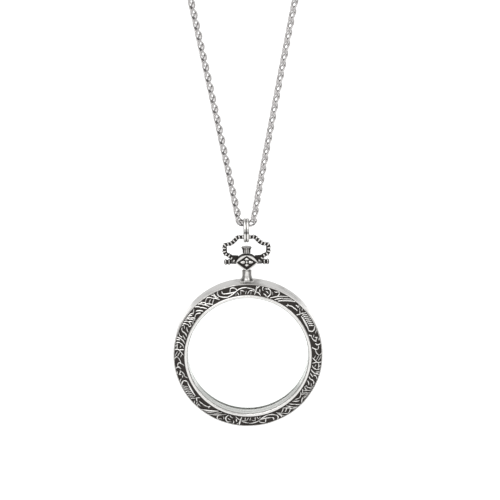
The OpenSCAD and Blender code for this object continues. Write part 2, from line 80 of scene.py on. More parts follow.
# Floor: one plain pale sheet, so far below the hanging pendant that its shadow stays out of the
# picture. It isn't part of the object.
def node(tree, kind, inputs=None, **settings):
    """A node with its settings made, and its inputs linked or set by name or number."""
    made = tree.nodes.new(kind)
    for name, value in settings.items():
        setattr(made, name, value)
    for name, value in (inputs or {}).items():
        if isinstance(value, bpy.types.NodeSocket):
            tree.links.new(value, made.inputs[name])
        else:
            made.inputs[name].default_value = value
    return made


def mixed(tree, share, first, second):
    """Two colours mixed, through the Mix node's own sockets for colours."""
    first_colour, second_colour, mixed_colour = 6, 7, 2
    inputs = {"Factor": share, first_colour: first, second_colour: second}
    return node(tree, "ShaderNodeMix", inputs, data_type="RGBA").outputs[mixed_colour]


def new_material(name):
    material = bpy.data.materials.new(name)
    material.use_nodes = True
    return material, material.node_tree, material.node_tree.nodes["Principled BSDF"]


def new_piece(name, corners, faces, material, rises=None, crease=35):
    """A mesh piece, smooth up to the crease angle, with how high each corner stands on it."""
    mesh = bpy.data.meshes.new(name)
    mesh.from_pydata([tuple(c) for c in corners], [], faces)
    mesh.shade_smooth()
    mesh.set_sharp_from_angle(angle=math.radians(crease))
    if rises is not None:
        mesh.attributes.new("rise", "FLOAT", "POINT").data.foreach_set("value", rises)
    mesh.materials.append(material)
    made = bpy.data.objects.new(name, mesh)
    bpy.context.scene.collection.objects.link(made)
    return made


floor_drop, floor_half = 0.42, 8.0
pale_tones = [(0.93, 0.93, 0.93, 1), (0.95, 0.95, 0.95, 1)]
pale, pale_tree, pale_shader = new_material("pale_sheet")
pale_shader.inputs["Roughness"].default_value = 0.9
pale_grain = node(pale_tree, "ShaderNodeTexNoise", {"Scale": 3.0, "Detail": 2.0})
pale_colour = mixed(pale_tree, pale_grain.outputs["Fac"], *pale_tones)
pale_tree.links.new(pale_colour, pale_shader.inputs["Base Color"])
floor_corners = [(x * floor_half, y * floor_half, case_low.z - floor_drop)
                 for x, y in [(-1, -1), (1, -1), (1, 1), (-1, 1)]]
floor = new_piece("floor", floor_corners, [(0, 1, 2, 3)], pale)


# Studio light: a white room, one broad soft lamp high on the left and a weaker one on the right.
# The room is a little brighter higher up.
def ranged(tree, value, low, high, to_low=0.0, to_high=1.0, **settings):
    """A value taken from one range to another, and held inside it."""
    inputs = {"Value": value, "From Min": low, "From Max": high, "To Min": to_low, "To Max": to_high}
    return node(tree, "ShaderNodeMapRange", inputs, **settings).outputs[0]


room_low, room_high = 0.66, 0.84
# How far up a way points where the room starts and stops growing brighter
low_way, high_way = -0.1, 0.6
lamps = [
    # name, strength, spread in degrees, tip and turn in degrees
    ("soft_left", 1.4, 64, 35, -40), ("soft_right", 0.6, 46, 55, 60)]
bpy.context.scene.view_settings.view_transform = "Standard"
world = bpy.data.worlds.new("white_room")
world.use_nodes = True
bpy.context.scene.world = world
room = world.node_tree
way = node(room, "ShaderNodeTexCoord")
height = node(room, "ShaderNodeSeparateXYZ", {0: way.outputs["Generated"]})
brightness = ranged(room, height.outputs["Z"], low_way, high_way, room_low, room_high)
room.nodes["Background"].inputs["Color"].default_value = (1, 1, 1, 1)
room.links.new(brightness, room.nodes["Background"].inputs["Strength"])
for lamp_name, strength, spread, tip, turn in lamps:
    lamp = bpy.data.lights.new(lamp_name, "SUN")
    lamp.energy = strength
    lamp.angle = math.radians(spread)
    lamp_place = bpy.data.objects.new(lamp_name, lamp)
    lamp_place.rotation_euler = (math.radians(tip), 0, math.radians(turn))
    bpy.context.scene.collection.objects.link(lamp_place)

# Chain: a rope chain of long soldered silver-coloured links. Two families of links lean opposite
# ways, each link passes through its neighbours of the other family, and the whole row turns about
# its line, which makes the two strands of the rope. Its route is the solid tubes' own.
rope_d = 2.26 * mm
link_wire = 0.46 * mm
link_off = 0.06 * mm
link_half_w = (rope_d - link_wire) / 2 - link_off
link_half_l = 1.5 * mm
link_tilt = math.radians(66)
link_step = 1.05 * mm
rope_turn = 6.3 * mm
link_turn = math.pi + 2 * math.pi * link_step / rope_turn
link_parts, wire_sides = 16, 6
bend = Vector(frame["joints"][0]["pos_m"])
# Right, back and up from the bend in the bail ring, as in the solid's route
route = [(0, 0, 0), (1.2, 0, 0.2), (2.05, 0.1, 0.95), (2.4, 0.3, 2.2), (4, 1.5, 10.4), (10, 5.6, 40),
         (18.3, 11.2, 80), (26.6, 17, 120), (33.5, 22, 150), (41.5, 29, 180), (48.5, 38, 205),
         (54.3, 50, 228), (57.6, 65, 247), (57.8, 82, 262), (54.5, 99, 273), (46.5, 114, 281),
         (34, 125, 286), (17.5, 131.7, 289.5), (10, 133.4, 290), (6, 133.5, 290)]
span_parts = 12


def new_group(name, kind, inputs, outputs):
    group = bpy.data.node_groups.new(name, kind)
    for socket, socket_type in inputs.items():
        group.interface.new_socket(socket, in_out="INPUT", socket_type="NodeSocket" + socket_type)
    for socket, socket_type in outputs.items():
        group.interface.new_socket(socket, in_out="OUTPUT", socket_type="NodeSocket" + socket_type)
    return group, group.nodes.new("NodeGroupInput").outputs, group.nodes.new("NodeGroupOutput")


def reckon(tree, operation, *terms):
    """The result of one sum on the terms."""
    return node(tree, "ShaderNodeMath", dict(enumerate(terms)), operation=operation).outputs[0]


# Fine scratches and smudges of handling, which every polished metal here has
marks, marks_in, marks_out = new_group("polish_marks", "ShaderNodeTree",
                                       {"Smooth": "Float", "Dull": "Float", "Scale": "Float"},
                                       {"Roughness": "Float", "Height": "Float"})
place = node(marks, "ShaderNodeTexCoord").outputs["Object"]
smudge = node(marks, "ShaderNodeTexNoise", {"Vector": place, "Scale": marks_in["Scale"], "Detail": 4.0})
stretch = node(marks, "ShaderNodeMapping", {"Vector": place, "Scale": (1, 6, 1),
                                            "Rotation": (0.4, 0.2, 0.6)})
scratch = node(marks, "ShaderNodeTexNoise", {"Vector": stretch.outputs[0], "Scale": 9000.0,
                                             "Detail": 3.0})
dulled = ranged(marks, smudge.outputs["Fac"], 0.3, 0.7, marks_in["Smooth"], marks_in["Dull"])
marks.links.new(dulled, marks_out.inputs["Roughness"])
marks.links.new(scratch.outputs["Fac"], marks_out.inputs["Height"])

# Darkening in the low places: partly patina left where polishing doesn't reach, partly painted shade
recess, recess_in, recess_out = new_group("dark_recesses", "ShaderNodeTree",
                                          {"Rise": "Float", "Bright": "Color", "Dark": "Color",
                                           "Dark Below": "Float", "Bright Above": "Float",
                                           "Mottle": "Float"},
                                          {"Color": "Color", "Dullness": "Float"})
place = node(recess, "ShaderNodeTexCoord").outputs["Object"]
mottle = node(recess, "ShaderNodeTexNoise", {"Vector": place, "Scale": 1600.0, "Detail": 3.0})
uneven = reckon(recess, "SUBTRACT", mottle.outputs["Fac"], 0.5)
uneven = reckon(recess, "MULTIPLY_ADD", uneven, recess_in["Mottle"], recess_in["Rise"])
cleaned = ranged(recess, uneven, recess_in["Dark Below"], recess_in["Bright Above"],
                 interpolation_type="SMOOTHSTEP")
shade = mixed(recess, cleaned, recess_in["Dark"], recess_in["Bright"])
recess.links.new(shade, recess_out.inputs["Color"])
recess.links.new(reckon(recess, "SUBTRACT", 1.0, cleaned), recess_out.inputs["Dullness"])

recess_dullness = 0.3
scratch_strength, scratch_depth = 0.02, 0.02 * mm


def stored_rise(tree):
    return node(tree, "ShaderNodeAttribute", attribute_name="rise").outputs["Fac"]


def metal(name, bright, dark, smooth, dull, smudge_scale, dark_below, bright_above, mottle=0.2,
          rise=stored_rise):
    """Silvered metal, bright where it stands high and dark in its recesses."""
    material, tree, shader = new_material(name)
    shader.inputs["Metallic"].default_value = 1.0
    wear = node(tree, "ShaderNodeGroup", {"Smooth": smooth, "Dull": dull, "Scale": smudge_scale},
                node_tree=marks)
    tint = node(tree, "ShaderNodeGroup", {"Rise": rise(tree), "Bright": (*bright, 1), "Dark": (*dark, 1),
                                          "Dark Below": dark_below, "Bright Above": bright_above,
                                          "Mottle": mottle}, node_tree=recess)
    rough = reckon(tree, "MULTIPLY_ADD", tint.outputs["Dullness"], recess_dullness,
                   wear.outputs["Roughness"])
    bump = node(tree, "ShaderNodeBump", {"Height": wear.outputs["Height"], "Strength": scratch_strength,
                                         "Distance": scratch_depth})
    tree.links.new(tint.outputs["Color"], shader.inputs["Base Color"])
    tree.links.new(rough, shader.inputs["Roughness"])
    tree.links.new(bump.outputs["Normal"], shader.inputs["Normal"])
    return material


def smooth_route(points, first_way, last_way):
    """A smooth line through the points, whose way at each one is along its two neighbours."""
    ways = [(points[k + 1] - points[k - 1]).normalized() for k in range(1, len(points) - 1)]
    ways = [first_way] + ways + [last_way]
    line = []
    for k in range(len(points) - 1):
        here, there = points[k], points[k + 1]
        leaving, reaching = ways[k] * (there - here).length, ways[k + 1] * (there - here).length
        for j in range(span_parts):
            t = j / span_parts
            line.append((2 * t**3 - 3 * t**2 + 1) * here + (t**3 - 2 * t**2 + t) * leaving
                        + (3 * t**2 - 2 * t**3) * there + (t**3 - t**2) * reaching)
    return line + [points[-1]]


def set_by_name(modifier, **values):
    for socket in modifier.node_group.interface.items_tree:
        name = socket.name.replace(" ", "_").lower()
        if socket.in_out == "INPUT" and name in values:
            modifier[socket.identifier] = values[name]


def made_by_nodes(name, route, tree, **values):
    """The plain mesh that a tree of nodes makes along a route."""
    carrier_mesh = bpy.data.meshes.new(name + "_line")
    carrier_mesh.from_pydata([tuple(p) for p in route], [(k, k + 1) for k in range(len(route) - 1)], [])
    carrier = bpy.data.objects.new(name + "_line", carrier_mesh)
    bpy.context.scene.collection.objects.link(carrier)
    modifier = carrier.modifiers.new("nodes", "NODES")
    modifier.node_group = tree
    set_by_name(modifier, **values)
    bpy.context.view_layer.update()
    seen = carrier.evaluated_get(bpy.context.evaluated_depsgraph_get())
    made = bpy.data.objects.new(name, bpy.data.meshes.new_from_object(seen))
    made.data.name = name
    bpy.context.scene.collection.objects.link(made)
    bpy.data.objects.remove(carrier)
    return made


def out_from_axis(tree):
    """How far each point lies from the upright axis."""
    flat = node(tree, "ShaderNodeVectorMath", {0: node(tree, "GeometryNodeInputPosition").outputs[0],
                                               1: (1, 1, 0)}, operation="MULTIPLY")
    return node(tree, "ShaderNodeVectorMath", {0: flat.outputs[0]}, operation="LENGTH").outputs["Value"]


def with_rise(tree, geometry, rise):
    inputs = {"Geometry": geometry, "Name": "rise", "Value": rise}
    return node(tree, "GeometryNodeStoreNamedAttribute", inputs, data_type="FLOAT",
                domain="POINT").outputs[0]


def made_solid(tree, geometry, finish):
    """The end of a tree: its copies made real, shaded smooth and given their metal."""
    real = node(tree, "GeometryNodeRealizeInstances", {"Geometry": geometry})
    smooth = node(tree, "GeometryNodeSetShadeSmooth", {"Geometry": real.outputs[0]})
    return node(tree, "GeometryNodeSetMaterial", {"Geometry": smooth.outputs[0],
                                                  "Material": finish}).outputs[0]


# The links: bent from a circle, tilted, and set along the line, each turned past the one before it
rope, rope_in, rope_out = new_group("rope_links", "GeometryNodeTree",
                                    {"Route": "Geometry", "Side": "Float", "Half Width": "Float",
                                     "Half Length": "Float", "Wire Radius": "Float",
                                     "Off Centre": "Float", "Tilt": "Float", "Step": "Float",
                                     "Turn": "Float", "First Turn": "Float", "Metal": "Material"},
                                    {"Links": "Geometry"})
line = node(rope, "GeometryNodeMeshToCurve", {"Mesh": rope_in["Route"]})
places = node(rope, "GeometryNodeCurveToPoints", {"Curve": line.outputs[0], "Length": rope_in["Step"]},
              mode="LENGTH")
across = node(rope, "ShaderNodeSeparateXYZ", {0: node(rope, "GeometryNodeInputPosition").outputs[0]})
sided = reckon(rope, "MULTIPLY", across.outputs["X"], rope_in["Side"])
chosen = node(rope, "FunctionNodeCompare", {"A": sided, "B": 0.0}, operation="GREATER_THAN")
angle = reckon(rope, "MULTIPLY_ADD", node(rope, "GeometryNodeInputIndex").outputs[0], rope_in["Turn"],
               rope_in["First Turn"])
about_line = node(rope, "FunctionNodeAxisAngleToRotation", {"Axis": (0, 0, 1), "Angle": angle})
turned = node(rope, "FunctionNodeRotateRotation", {"Rotation": places.outputs["Rotation"],
                                                   "Rotate By": about_line.outputs[0]},
              rotation_space="LOCAL")
circle = node(rope, "GeometryNodeCurvePrimitiveCircle", {"Resolution": link_parts, "Radius": 1.0})
oval = node(rope, "ShaderNodeCombineXYZ", {"X": rope_in["Half Width"], "Y": rope_in["Half Length"],
                                           "Z": 1.0})
tip = node(rope, "ShaderNodeCombineXYZ", {"X": reckon(rope, "MULTIPLY", rope_in["Tilt"], -1.0)})
tip = node(rope, "FunctionNodeEulerToRotation", {0: tip.outputs[0]})
shift = node(rope, "ShaderNodeCombineXYZ", {"X": rope_in["Off Centre"]})
ring = node(rope, "GeometryNodeTransform", {"Geometry": circle.outputs[0], "Translation": shift.outputs[0],
                                            "Rotation": tip.outputs[0], "Scale": oval.outputs[0]})
wire = node(rope, "GeometryNodeCurvePrimitiveCircle", {"Resolution": wire_sides,
                                                       "Radius": rope_in["Wire Radius"]})
link = node(rope, "GeometryNodeCurveToMesh", {"Curve": ring.outputs[0], "Profile Curve": wire.outputs[0]})
# The rise falls towards the middle of the rope, so the links darken where they cross: painted shade
# between the links, with some tarnish
reach = reckon(rope, "ADD", rope_in["Off Centre"], rope_in["Half Width"])
link = with_rise(rope, link.outputs[0], reckon(rope, "DIVIDE", out_from_axis(rope), reach))
row = node(rope, "GeometryNodeInstanceOnPoints", {"Points": places.outputs[0],
                                                  "Selection": chosen.outputs[0], "Instance": link,
                                                  "Rotation": turned.outputs[0]})
rope.links.new(made_solid(rope, row.outputs[0], rope_in["Metal"]), rope_out.inputs["Links"])

chain_metal = metal("chain_silver", bright=(0.47, 0.455, 0.45), dark=(0.13, 0.125, 0.125), smooth=0.16,
                    dull=0.3, smudge_scale=300, dark_below=0.25, bright_above=0.9)
right_half = smooth_route([bend + Vector(p) * mm for p in route], Vector((1, 0, 0)), Vector((-1, 0, 0)))
left_half = [Vector((-p.x, p.y, p.z)) for p in reversed(right_half[1:])]
whole_route = left_half + right_half
# Each half of the chain keeps the links on its own side of one row that runs over the whole route
for side, name, start in [(-1.0, "left", 45), (1.0, "right", 0)]:
    links = made_by_nodes(f"chain_{name}_links", whole_route, rope, side=side, half_width=link_half_w,
                          half_length=link_half_l, wire_radius=link_wire / 2, off_centre=link_off,
                          tilt=link_tilt, step=link_step, turn=link_turn,
                          first_turn=math.radians(start), metal=chain_metal)
    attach(links, "chain")
    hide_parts("chain_" + name)


# Clasp: a plain barrel with end caps, which closes the chain at the nape and is plated like it. Its
# solid is shown.
def cloudy_rise(tree):
    spot = node(tree, "ShaderNodeTexCoord").outputs["Object"]
    return node(tree, "ShaderNodeTexNoise", {"Vector": spot, "Scale": 210.0, "Detail": 3.0}).outputs["Fac"]


def finish_solid(name, finish):
    """Gives a solid that is shown its metal."""
    finishes = frame["nodes"][name].data.materials
    finishes.clear()
    finishes.append(finish)


clasp_metal = metal("clasp_silver", bright=(0.74, 0.73, 0.71), dark=(0.5, 0.49, 0.47), smooth=0.14,
                    dull=0.3, smudge_scale=260, dark_below=0.3, bright_above=0.6, rise=cloudy_rise)
finish_solid("clasp", clasp_metal)

# Bail ring: two turns of round polished wire, side by side, which hang on the chain's bend and hold
# the bow. Its solid is shown. The groove between the turns is painted dark, as painted shade, and
# so is a band across each turn half way down, also painted shade.
bail_low, bail_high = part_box("bail_ring")
bail_wire = 0.84 * mm
turn_middle = 0.41 * mm
dark_level = (bail_low.z + bail_high.z) / 2 + 0.15 * mm
dark_half, clean_half = 0.25 * mm, 0.5 * mm
dark_level_rise = 0.22


def own_place(tree):
    """A point's own place to the right, back and up."""
    spot = node(tree, "ShaderNodeTexCoord").outputs["Object"]
    return node(tree, "ShaderNodeSeparateXYZ", {0: spot}).outputs


def groove_rise(tree):
    spot = own_place(tree)
    # Dark towards the groove between the turns and in a band half way down: painted shade
    aside = reckon(tree, "SUBTRACT", reckon(tree, "ABSOLUTE", spot["X"]), turn_middle)
    turn = ranged(tree, reckon(tree, "ABSOLUTE", aside), bail_wire / 2, 0.0)
    level = reckon(tree, "ABSOLUTE", reckon(tree, "SUBTRACT", spot["Z"], dark_level))
    worn = ranged(tree, level, dark_half, clean_half, dark_level_rise, 1.0)
    return reckon(tree, "MULTIPLY", turn, worn)


bail_metal = metal("bail_silver", bright=(0.76, 0.75, 0.73), dark=(0.13, 0.125, 0.12), smooth=0.12,
                   dull=0.26, smudge_scale=260, dark_below=0.0, bright_above=0.7, rise=groove_rise)
finish_solid("bail_ring", bail_metal)

# Hanger: one silvered casting of flared stem, eye plate, beaded bow and side tabs, screwed into the
# case. It is dark in its low places and bright on its high ones: partly patina, partly painted shade.
hanger_metal = metal("hanger_silver", bright=(0.68, 0.67, 0.65), dark=(0.035, 0.032, 0.03), smooth=0.16,
                     dull=0.34, smudge_scale=500, dark_below=0.1, bright_above=0.75, mottle=0.25)
case_top = (case_high.x - case_low.x) / 2 / mm


def from_case(x, y, z):
    """A place in millimetres to the right, to the front and up from the middle of the case."""
    return case_middle + Vector((x, -y, z)) * mm


def turned_on(outline, parts, axis, middle=0):
    """A shape turned on the axis: corners, faces and rises from rows of radius, height and rise."""
    corners, faces, rings = [], [], []
    for radius, height, rise in outline:
        rings.append(len(corners))
        for k in range(parts if radius > 0 else 1):
            a = 2 * math.pi * k / parts
            if axis == "Z":
                corners.append(from_case(radius * math.cos(a), -radius * math.sin(a), middle + height))
            else:
                corners.append(from_case(radius * math.cos(a), height, radius * math.sin(a)))
    closed = outline[0][0] > 0
    for n in range(len(outline) if closed else len(outline) - 1):
        here, there = n, (n + 1) % len(outline)
        a, b = rings[here], rings[there]
        for k in range(parts):
            j = (k + 1) % parts
            if outline[here][0] == 0:
                faces.append((a, b + j, b + k))
            elif outline[there][0] == 0:
                faces.append((a + k, a + j, b))
            else:
                faces.append((a + k, a + j, b + j, b + k))
    rises = [rise for radius, height, rise in outline for _ in range(parts if radius > 0 else 1)]
    return corners, faces, rises


# The stem, from its foot on the case to its root in the eye plate, with four long hollows round it
stem_r, foot_r, stem_h = 1.45, 2.25, 3.7
root_r, root_l = 0.75, 0.6
foot_sink = 0.11
stem_parts = 64
stem_outline = [
    # radius, height, rise
    (0, -foot_sink, 0.5), (foot_r, -foot_sink, 0.6), (foot_r, 0.12, 0.7), (foot_r, 0.22, 0.75),
    (2.1, 0.38, 0.6), (1.99, 0.52, 0.42), (1.88, 0.66, 0.5), (1.67, 0.96, 0.7), (1.51, 1.63, 0.85),
    (stem_r, 2.1, 0.85), (stem_r, 2.7, 0.85), (stem_r, stem_h - 0.35, 0.8), (root_r, stem_h, 0.7),
    (root_r, stem_h + root_l, 0.5), (0, stem_h + root_l, 0.5)]
quarter_turn = 90
hollow_half, hollow_start, hollow_depth, hollow_dark = 19, 0.16, 0.06, 0.62
foot_dark, foot_dark_top = 0.75, 0.25
least_r = 0.1
corners, faces, rises = turned_on(stem_outline, stem_parts, "Z", case_top)
# The hollows are painted darker, as painted reflections along the stem's sides, and the front of the foot
# is painted darker to hold back its highlight: painted shade
for n, place in enumerate(corners):
    from_axis = (place - case_middle) / mm
    share = min(max((from_axis.z - case_top) / stem_h, 0), 1)
    turn = math.degrees(math.atan2(from_axis.x, -from_axis.y)) % quarter_turn
    across_hollow = abs(turn - quarter_turn / 2) / (hollow_half + hollow_half * share)
    hollow = max(0, 1 - across_hollow**4) * min(share / hollow_start, 1)
    front_share = max(0, -from_axis.y / max(math.hypot(from_axis.x, from_axis.y), least_r))
    front_dark = foot_dark * front_share**6 * max(0, 1 - share / foot_dark_top)
    rises[n] *= (1 - hollow_dark * hollow) * (1 - front_dark)
    pull = 1 - hollow_depth * hollow
    corners[n] = Vector((case_middle.x + (place.x - case_middle.x) * pull,
                         case_middle.y + (place.y - case_middle.y) * pull, place.z))
stem = new_piece("hanger_stem", corners, faces, hanger_metal, rises)

# The eye plate: a thick pointed oval with a raised lid round a sunk diamond, which holds a flower
plate_w, plate_h, plate_t = 6.8, 4.7, 2.4
plate_low = 2.65
plate_z = case_top + stem_h + plate_h / 2
straight_share = 0.6
inset_w, inset_top, inset_low, inset_depth = 6.0, 2.02, 2.3, 0.4
plate_parts = 72
plate_rings = [
    # share of the eye, share of the diamond, height to the front, rise
    (0.9, 0, -plate_t / 2, 0.3), (1, 0, 0.15 - plate_t / 2, 0.12), (1, 0, plate_t / 2 - 0.2, 0.05),
    (0.985, 0, plate_t / 2 - 0.06, 0.06), (0.93, 0, plate_t / 2, 0.4), (0.87, 0.05, plate_t / 2, 1),
    (0.3, 0.72, plate_t / 2, 1), (0, 1.03, plate_t / 2 - 0.04, 0.6),
    (0, 0.99, plate_t / 2 - inset_depth, 0)]
# The plate's edge is painted dark along its upper half and light grey along its lower half: painted shade
# on its top side
upper_edge = 4
lower_edge_rise, back_rise = 0.75, 0.5


def eye_reach(angle):
    """Reach of the pointed oval, whose lower edges are nearly straight."""
    half_h = plate_h / 2 if math.sin(angle) > 0 else plate_low
    bulge = ((plate_w / 2) ** 2 + half_h**2) / (2 * half_h)
    drop = bulge - half_h
    steep = abs(math.sin(angle))
    reach = -drop * steep + math.sqrt(bulge**2 - drop**2 * (1 - steep**2))
    straight = 1 / (abs(math.cos(angle)) / (plate_w / 2) + steep / half_h)
    return reach if math.sin(angle) > 0 else (1 - straight_share) * reach + straight_share * straight


def diamond_reach(angle):
    half_h = inset_top if math.sin(angle) > 0 else inset_low
    return 1 / (abs(math.cos(angle)) / (inset_w / 2) + abs(math.sin(angle)) / half_h)


plate_corners, plate_faces, plate_rises = [from_case(0, -plate_t / 2, plate_z)], [], [back_rise]
for n, (eye_share, diamond_share, height, rise) in enumerate(plate_rings):
    for k in range(plate_parts):
        a = 2 * math.pi * k / plate_parts
        reach = eye_share * eye_reach(a) + diamond_share * diamond_reach(a)
        plate_corners.append(from_case(reach * math.cos(a), height, plate_z + reach * math.sin(a)))
        plate_rises.append(rise if n > upper_edge or math.sin(a) > 0 else max(rise, lower_edge_rise))
plate_corners.append(from_case(0, plate_t / 2 - inset_depth, plate_z))
plate_rises.append(0)
for k in range(plate_parts):
    j = (k + 1) % plate_parts
    plate_faces.append((0, 1 + j, 1 + k))
    for n in range(len(plate_rings) - 1):
        a, b = 1 + n * plate_parts, 1 + (n + 1) * plate_parts
        plate_faces.append((a + k, a + j, b + j, b + k))
    last = 1 + (len(plate_rings) - 1) * plate_parts
    plate_faces.append((last + k, last + j, len(plate_corners) - 1))
plate = new_piece("hanger_eye_plate", plate_corners, plate_faces, hanger_metal, plate_rises, crease=50)

# The flower in the diamond: a middle and four petals
flower_base = plate_t / 2 - inset_depth - 0.05
petals = [
    # name, right and up from the middle, half width, half height, swell
    ("middle", 0, 0, 0.36, 0.46, 0.66), ("left_petal", -1.26, 0, 0.8, 0.5, 0.5),
    ("right_petal", 1.26, 0, 0.8, 0.5, 0.5), ("top_petal", 0, 0.98, 0.66, 0.46, 0.48),
    ("bottom_petal", 0, -0.98, 0.56, 0.42, 0.46)]
petal_rounds, petal_parts = 5, 24
petal_taper = 0.45
petal_foot_rise, petal_top_rise = 0.15, 1.2


def dome(middle_x, middle_z, half_x, half_z, swell):
    """A raised drop on the flower's ground, which narrows away from the middle of the flower."""
    away_x, away_z = [(v > 0) - (v < 0) for v in (middle_x, middle_z)]
    corners, faces, rises = [], [], []
    for n in range(petal_rounds):
        lift = math.pi / 2 * n / petal_rounds
        for k in range(petal_parts):
            a = 2 * math.pi * k / petal_parts
            x, z = math.cos(lift) * math.cos(a), math.cos(lift) * math.sin(a)
            narrow = 1 - petal_taper * (x * away_x + z * away_z)
            x, z = x * (narrow if away_z else 1), z * (narrow if away_x else 1)
            corners.append(from_case(middle_x + half_x * x, flower_base + swell * math.sin(lift),
                                     plate_z + middle_z + half_z * z))
            rises.append(petal_foot_rise + math.sin(lift))
    corners.append(from_case(middle_x, flower_base + swell, plate_z + middle_z))
    rises.append(petal_top_rise)
    last = (petal_rounds - 1) * petal_parts
    for k in range(petal_parts):
        j = (k + 1) % petal_parts
        for n in range(petal_rounds - 1):
            a, b = n * petal_parts, (n + 1) * petal_parts
            faces.append((a + k, a + j, b + j, b + k))
        faces.append((last + k, last + j, len(corners) - 1))
    faces.append(tuple(reversed(range(petal_parts))))
    return corners, faces, rises


for name, *petal_sizes in petals:
    corners, faces, rises = dome(*petal_sizes)
    petal = new_piece("hanger_flower_" + name, corners, faces, hanger_metal, rises)
    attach(petal, "pendant")
    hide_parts("hanger")

# The bow and its tabs: a bar with a row of beads, from the eye plate over its top and down again
bow_w, bow_h = 13.2, 7.6
# Shares of the bow's half width and of its height, from the top down to the right end
bow_half = [(0, 1), (0.39, 1.01), (0.51, 0.9), (0.64, 0.79), (0.78, 0.72), (0.95, 0.71), (1.01, 0.65),
            (1.01, 0.5), (1, 0.36), (0.94, 0.3), (0.82, 0.26), (0.7, 0.16), (0.58, 0.05)]
bow_whole = [(-x, z) for x, z in reversed(bow_half)] + bow_half[1:]
bead_d, bar_d, bead_pitch, bead_half_l = 1.42, 0.94, 1.05, 0.34
bead_parts, bead_rings, bar_sides = 16, 10, 14


def bow_line(shrink):
    return [from_case(x * shrink * bow_w / 2, 0, plate_z + (0.5 + (z - 0.5) * shrink) * bow_h)
            for x, z in bow_whole]


beaded, beaded_in, beaded_out = new_group("beaded_wire", "GeometryNodeTree",
                                          {"Route": "Geometry", "Pitch": "Float", "Bead Radius": "Float",
                                           "Bead Length": "Float", "Bar Radius": "Float",
                                           "Worn From": "Float", "Metal": "Material"},
                                          {"Wire": "Geometry"})
line = node(beaded, "GeometryNodeMeshToCurve", {"Mesh": beaded_in["Route"]})
whole = node(beaded, "GeometryNodeCurveLength", {0: line.outputs[0]})
# Half a space more, so that the number is rounded, and one bead more than there are spaces
beads_wanted = reckon(beaded, "DIVIDE", whole.outputs[0], beaded_in["Pitch"])
beads_wanted = reckon(beaded, "FLOOR", reckon(beaded, "ADD", beads_wanted, 0.5 + 1))
places = node(beaded, "GeometryNodeCurveToPoints", {"Curve": line.outputs[0], "Count": beads_wanted},
              mode="COUNT")
ball = node(beaded, "GeometryNodeMeshUVSphere", {"Segments": bead_parts, "Rings": bead_rings,
                                                 "Radius": 1.0})
shape = node(beaded, "ShaderNodeCombineXYZ", {"X": beaded_in["Bead Radius"], "Y": beaded_in["Bead Radius"],
                                              "Z": beaded_in["Bead Length"]})
# Each bead is dark near the bar and bright only towards its outer side: painted shade in the gaps between
# the beads, with some patina
worn = ranged(beaded, out_from_axis(beaded), beaded_in["Worn From"], 1.0)
ball = with_rise(beaded, ball.outputs[0], worn)
bead = node(beaded, "GeometryNodeTransform", {"Geometry": ball, "Scale": shape.outputs[0]})
beads = node(beaded, "GeometryNodeInstanceOnPoints", {"Points": places.outputs[0],
                                                      "Instance": bead.outputs[0],
                                                      "Rotation": places.outputs["Rotation"]})
round_bar = node(beaded, "GeometryNodeCurvePrimitiveCircle", {"Resolution": bar_sides,
                                                              "Radius": beaded_in["Bar Radius"]})
bar = node(beaded, "GeometryNodeCurveToMesh", {"Curve": line.outputs[0],
                                               "Profile Curve": round_bar.outputs[0], "Fill Caps": True})
both = node(beaded, "GeometryNodeJoinGeometry")
beaded.links.new(beads.outputs[0], both.inputs[0])
beaded.links.new(bar.outputs[0], both.inputs[0])
beaded.links.new(made_solid(beaded, both.outputs[0], beaded_in["Metal"]), beaded_out.inputs["Wire"])


def beaded_piece(name, route, pitch, bead_radius, bead_length, bar_radius, worn_from):
    return made_by_nodes(name, route, beaded, pitch=pitch * mm, bead_radius=bead_radius * mm,
                         bead_length=bead_length * mm, bar_radius=bar_radius * mm,
                         worn_from=worn_from, metal=hanger_metal)


bow = beaded_piece("hanger_bow", bow_line(1), bead_pitch, bead_d / 2, bead_half_l, bar_d / 2,
                   worn_from=0.74)
# The plain bar along the inner side of the beads. Its pitch is longer than the bar, so it has only
# one small bead, inside the web at its end.
inner_share = 0.945
bow_bar = beaded_piece("hanger_bow_bar", bow_line(inner_share), pitch=1000, bead_radius=0.4,
                       bead_length=0.3, bar_radius=bar_d / 2, worn_from=0.7)
hanger_pieces = [stem, plate, bow, bow_bar]
tab_z = -0.01 * bow_h
tab_rows = [
    # name, places to the side, pitch, bead radius, bead half length, bar radius
    ("tab", (5.26, 5.8, 6.28), 1.02, 0.9, 0.48, 0.66),
    ("shoulder", (3.2, 3.8, 4.35), 0.4, 0.76, 0.16, 0.62)]
# The tab beads are bright only at their very outer edge and dark elsewhere: painted shade, with some
# patina
tab_worn_from = 0.96
